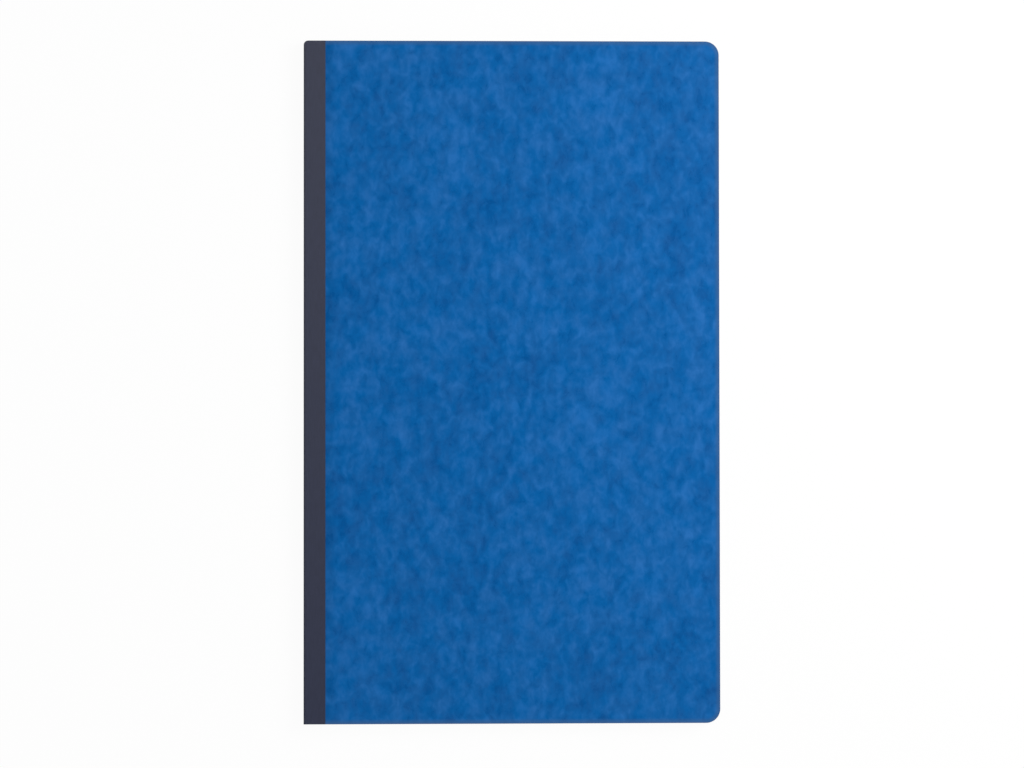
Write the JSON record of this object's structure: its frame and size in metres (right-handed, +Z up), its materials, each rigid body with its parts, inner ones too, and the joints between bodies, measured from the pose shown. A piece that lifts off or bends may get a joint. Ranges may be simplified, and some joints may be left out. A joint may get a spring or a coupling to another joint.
{
  "type": "ledger book",
  "caption": "Tall thin ledger book with mottled blue pressboard covers, a dark cloth spine strip, rounded fore-edge corners and a sewn block of leaves; both covers open.",
  "frame": {"origin": "middle of the book's underside, on the surface that the closed book lies on", "axes": "+X from the spine to the fore-edge, +Y from the tail to the head, +Z up through the thickness to the front cover"},
  "size_m": [0.195, 0.32, 0.0071],
  "materials": {
    "pressboard": "satin",
    "spine_cloth": "matte",
    "ledger_paper": "matte",
    "endpaper": "matte",
    "lining_paper": "matte",
    "thread": "matte"
  },
  "bodies": {
    "book_block": {"page_block": "ledger_paper", "sewing_thread": "thread", "spine_lining": "lining_paper", "spine_cloth": "spine_cloth"},
    "front_cover": {"front_board": "pressboard", "front_pastedown": "endpaper", "front_cloth_lap": "spine_cloth"},
    "back_cover": {"back_board": "pressboard", "back_pastedown": "endpaper", "back_cloth_lap": "spine_cloth"}
  },
  "joints": [
    {"name": "front_cover_hinge", "type": "hinge", "parent": "book_block", "child": "front_cover", "pos_m": [-0.09765, 0, 0.00613], "axis": [0, -1, 0], "range_deg": [0, 179.8]},
    {"name": "back_cover_hinge", "type": "hinge", "parent": "book_block", "child": "back_cover", "pos_m": [-0.09765, 0, 0.00093], "axis": [0, 1, 0], "range_deg": [0, 179.8]}
  ]
}
